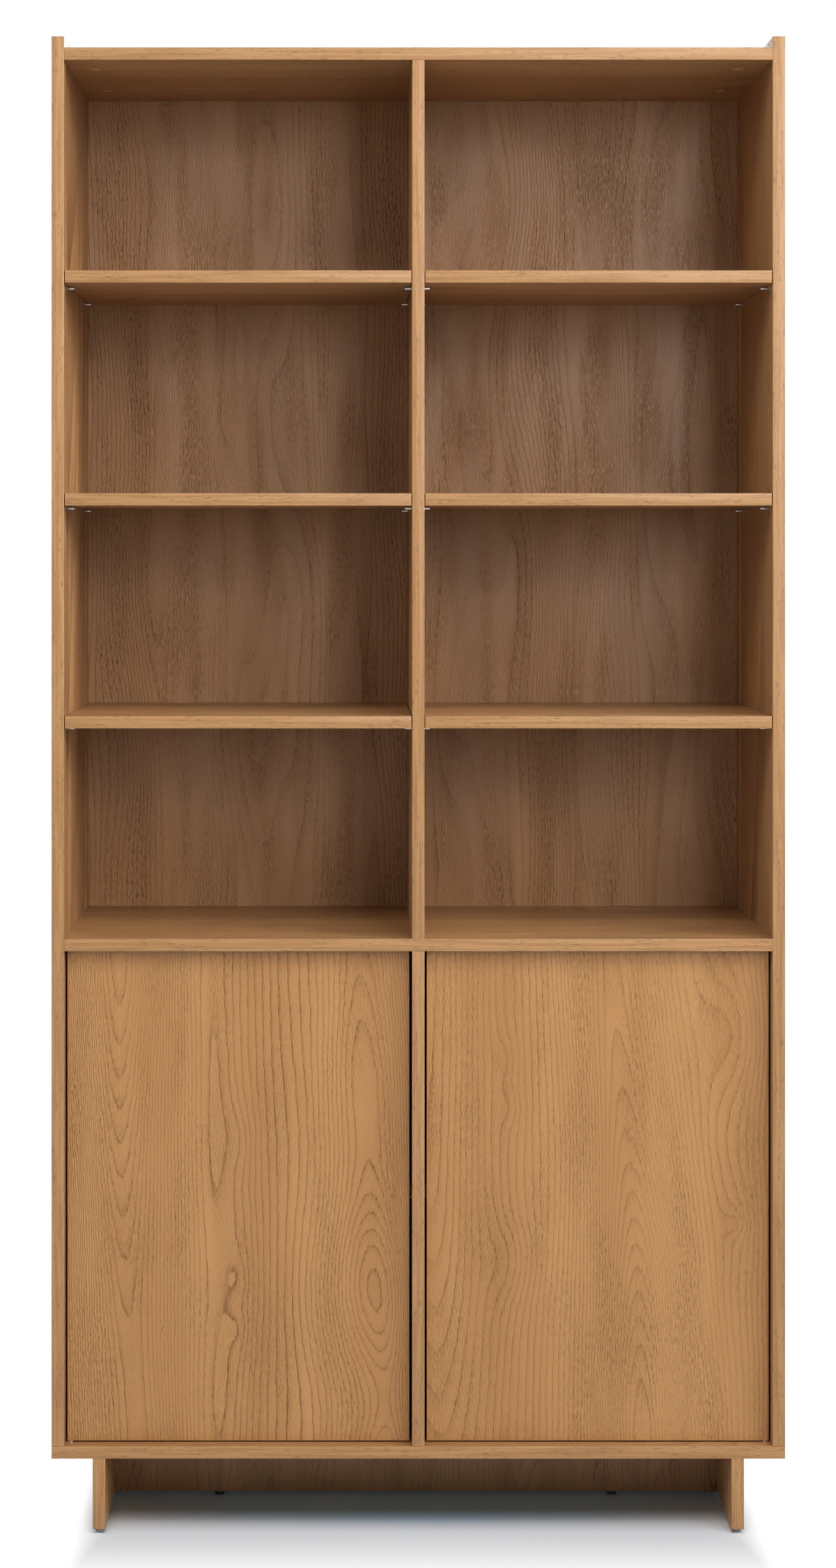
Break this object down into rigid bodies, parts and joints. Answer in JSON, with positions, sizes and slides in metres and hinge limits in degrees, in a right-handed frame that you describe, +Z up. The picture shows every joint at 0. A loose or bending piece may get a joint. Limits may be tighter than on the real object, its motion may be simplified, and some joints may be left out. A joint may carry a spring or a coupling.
{
  "type": "bookcase with cabinet doors",
  "caption": "Tall open bookcase in oak laminate with loose shelves on pins, and plain inset push-to-open doors below, on a set-in panel base.",
  "frame": {"origin": "on the floor, below the middle of the bookcase", "axes": "+Z up, +X to the right as seen from the front, +Y towards the back, so the doors face -Y"},
  "size_m": [1.06, 0.38, 2.163],
  "materials": {
    "oak_laminate": "satin oak-print laminate with matching edge band",
    "back_board": "thin fibreboard, oak-print front",
    "bright_steel": "nickel-plated",
    "grey_nylon": "moulded",
    "black_plastic": "moulded"
  },
  "bodies": {
    "case": {"left_side_panel": "oak_laminate", "right_side_panel": "oak_laminate", "top_panel": "oak_laminate", "fixed_shelf": "oak_laminate", "bottom_panel": "oak_laminate", "lower_divider": "oak_laminate", "upper_divider": "oak_laminate", "left_cabinet_shelf": "oak_laminate", "right_cabinet_shelf": "oak_laminate", "left_lower_shelf": "oak_laminate", "right_lower_shelf": "oak_laminate", "left_middle_shelf": "oak_laminate", "right_middle_shelf": "oak_laminate", "left_upper_shelf": "oak_laminate", "right_upper_shelf": "oak_laminate", "left_leg_panel": "oak_laminate", "right_leg_panel": "oak_laminate", "cross_rail": "oak_laminate", "lower_back_panel": "back_board", "upper_back_panel": "back_board", "left_cabinet_shelf_front_pin": "bright_steel", "right_cabinet_shelf_front_pin": "bright_steel", "left_cabinet_shelf_rear_pin": "bright_steel", "right_cabinet_shelf_rear_pin": "bright_steel", "left_lower_shelf_front_pin": "bright_steel", "right_lower_shelf_front_pin": "bright_steel", "left_lower_shelf_rear_pin": "bright_steel", "right_lower_shelf_rear_pin": "bright_steel", "left_middle_shelf_front_pin": "bright_steel", "right_middle_shelf_front_pin": "bright_steel", "left_middle_shelf_rear_pin": "bright_steel", "right_middle_shelf_rear_pin": "bright_steel", "left_upper_shelf_front_pin": "bright_steel", "right_upper_shelf_front_pin": "bright_steel", "left_upper_shelf_rear_pin": "bright_steel", "right_upper_shelf_rear_pin": "bright_steel", "divider_cabinet_front_pin": "bright_steel", "divider_cabinet_rear_pin": "bright_steel", "divider_lower_front_pin": "bright_steel", "divider_lower_rear_pin": "bright_steel", "divider_middle_front_pin": "bright_steel", "divider_middle_rear_pin": "bright_steel", "divider_upper_front_pin": "bright_steel", "divider_upper_rear_pin": "bright_steel", "left_door_lower_pivot": "bright_steel", "left_door_upper_pivot": "bright_steel", "right_door_lower_pivot": "bright_steel", "right_door_upper_pivot": "bright_steel", "left_leg_front_glide": "grey_nylon", "left_leg_rear_glide": "grey_nylon", "right_leg_front_glide": "grey_nylon", "right_leg_rear_glide": "grey_nylon", "left_push_latch_housing": "grey_nylon", "right_push_latch_housing": "grey_nylon", "left_levelling_foot": "black_plastic", "right_levelling_foot": "black_plastic"},
    "left_door": {"left_door": "oak_laminate"},
    "right_door": {"right_door": "oak_laminate"},
    "left_latch_plunger": {"left_push_latch_plunger": "black_plastic"},
    "right_latch_plunger": {"right_push_latch_plunger": "black_plastic"}
  },
  "joints": [
    {"name": "left_door_hinge", "type": "hinge", "parent": "case", "child": "left_door", "pos_m": [-0.5043, -0.1665, 0.4835], "axis": [0, 0, -1], "range_deg": [0, 95]},
    {"name": "right_door_hinge", "type": "hinge", "parent": "case", "child": "right_door", "pos_m": [0.5043, -0.1665, 0.4835], "axis": [0, 0, 1], "range_deg": [0, 95]},
    {"name": "left_latch_slide", "type": "slide", "parent": "case", "child": "left_latch_plunger", "axis": [0, -1, 0], "range_m": [0, 0.01]},
    {"name": "right_latch_slide", "type": "slide", "parent": "case", "child": "right_latch_plunger", "axis": [0, -1, 0], "range_m": [0, 0.01]}
  ],
  "couplings": [
    {"joint": "left_latch_slide", "follows": "left_door_hinge", "m_per_rad": 0.006},
    {"joint": "right_latch_slide", "follows": "right_door_hinge", "m_per_rad": 0.006}
  ]
}
